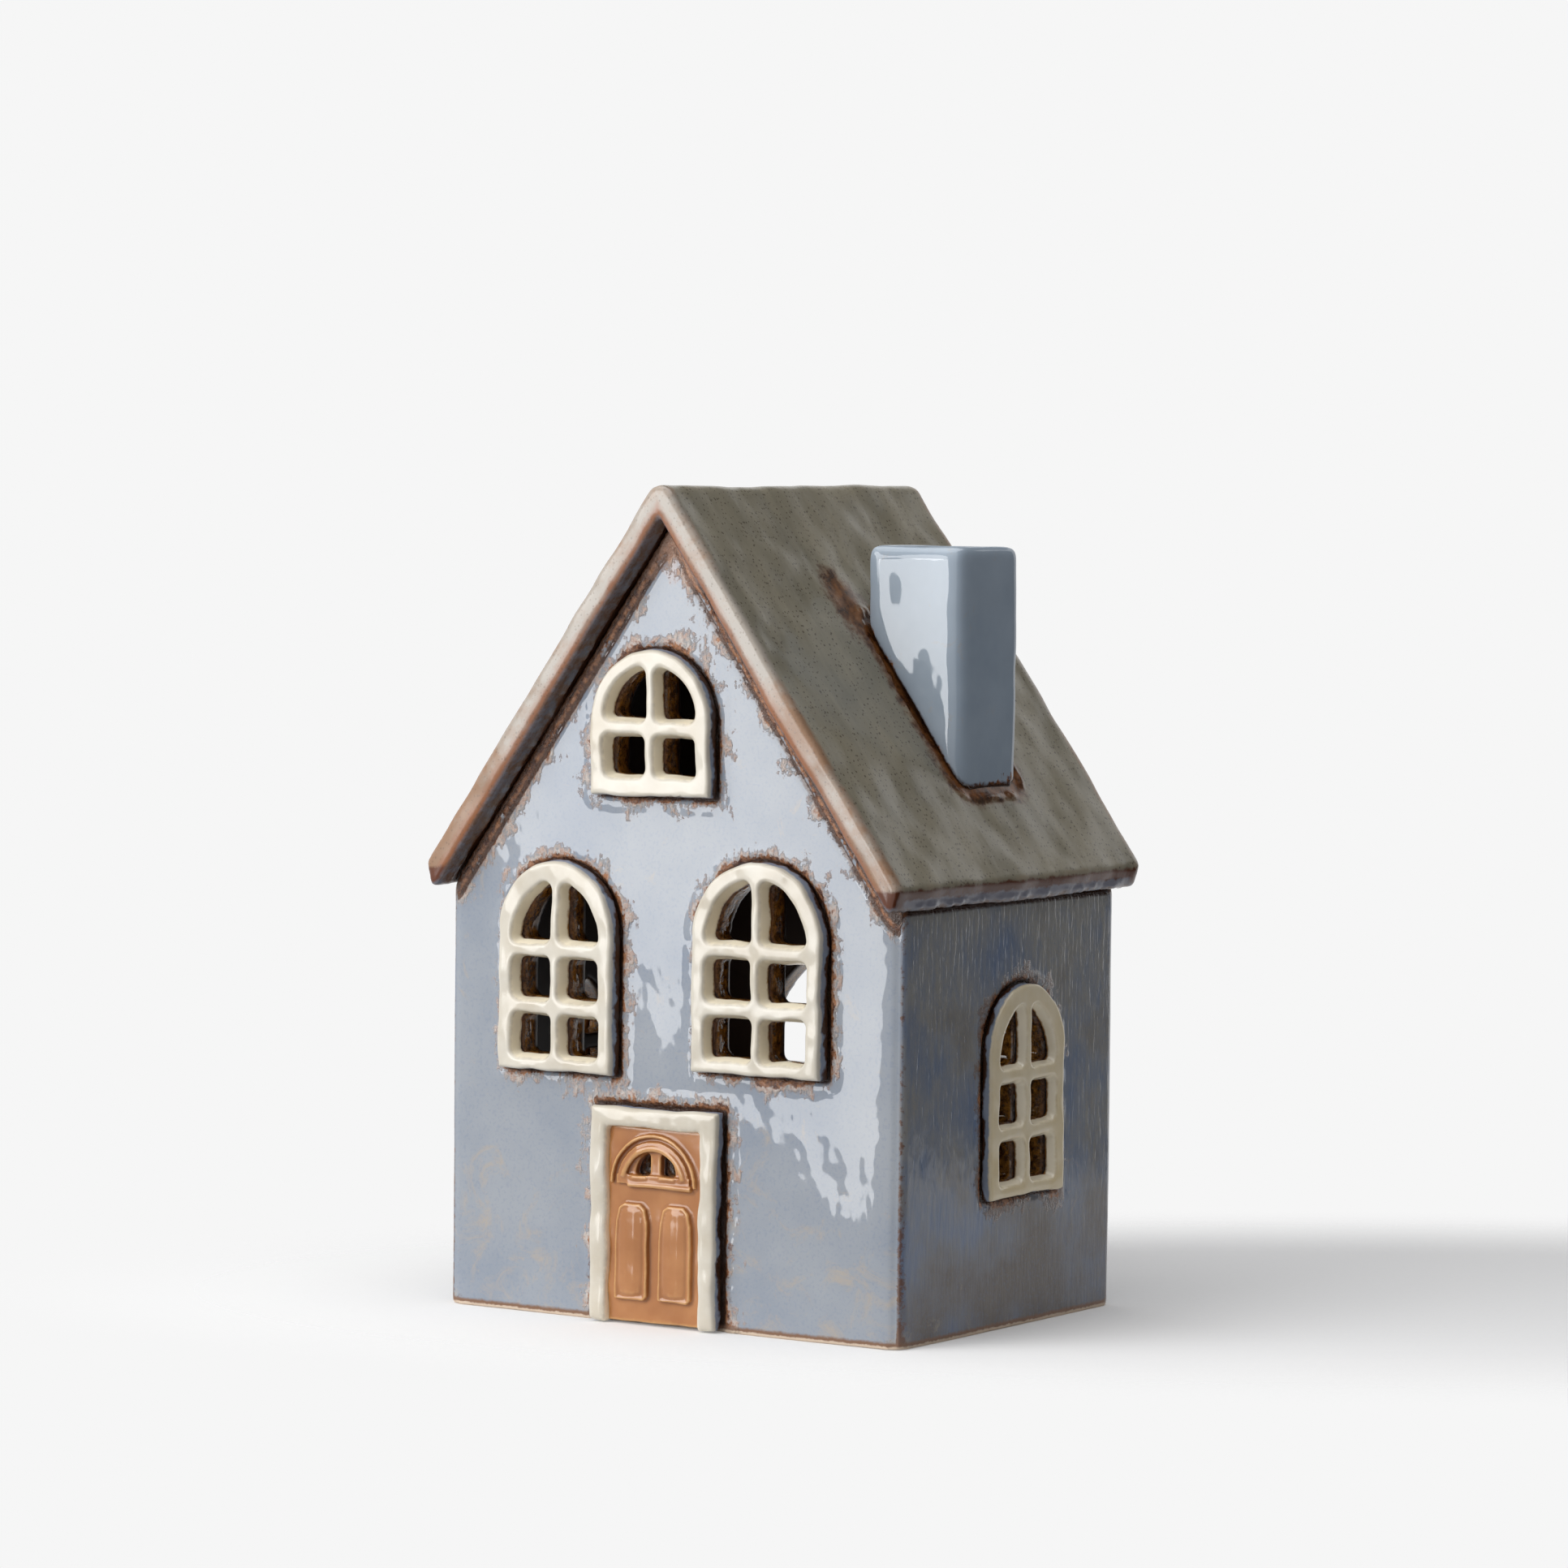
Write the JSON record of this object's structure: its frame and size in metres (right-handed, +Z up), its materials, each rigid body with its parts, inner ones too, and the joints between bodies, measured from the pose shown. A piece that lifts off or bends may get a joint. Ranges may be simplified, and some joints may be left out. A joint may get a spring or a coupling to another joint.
{
  "type": "tealight house",
  "caption": "Glazed stoneware cottage lantern: slab walls with arched window grilles, pitched roof, hollow chimney and a rear arch through which a tealight slides in.",
  "frame": {"origin": "on the surface that the house stands on, under the middle of its outline", "axes": "+Z up, front of the house to -Y, arch for the tealight to +Y, chimney on the +X slope of the roof"},
  "size_m": [0.104, 0.0838, 0.15],
  "materials": {
    "wall_glaze": "glossy blue-grey reactive glaze breaking brown at the edges",
    "roof_glaze": "satin olive-grey glaze with dark speckles and brush marks",
    "window_glaze": "glossy cream glaze",
    "door_glaze": "glossy caramel glaze",
    "interior_glaze": "glossy dark brown glaze",
    "aluminium_cup": "pressed thin sheet",
    "paraffin_wax": "satin white wax",
    "wick_metal": "tinned sheet",
    "cotton_wick": "braided cotton, waxed"
  },
  "bodies": {
    "house": {"floor_slab": "interior_glaze", "front_wall": "wall_glaze", "right_wall": "wall_glaze", "back_wall": "wall_glaze", "left_wall": "wall_glaze", "roof_left": "roof_glaze", "roof_right": "roof_glaze", "chimney": "wall_glaze", "attic_window": "window_glaze", "front_left_window": "window_glaze", "front_right_window": "window_glaze", "right_window": "window_glaze", "left_window": "window_glaze", "door_frame": "window_glaze", "door_leaf": "door_glaze"},
    "tealight": {"tealight_cup": "aluminium_cup", "tealight_wax": "paraffin_wax", "wick_tab": "wick_metal", "wick": "cotton_wick"}
  },
  "joints": [
    {"name": "tealight_slide", "type": "slide", "parent": "house", "child": "tealight", "axis": [0, 1, 0], "range_m": [0, 0.075]}
  ]
}
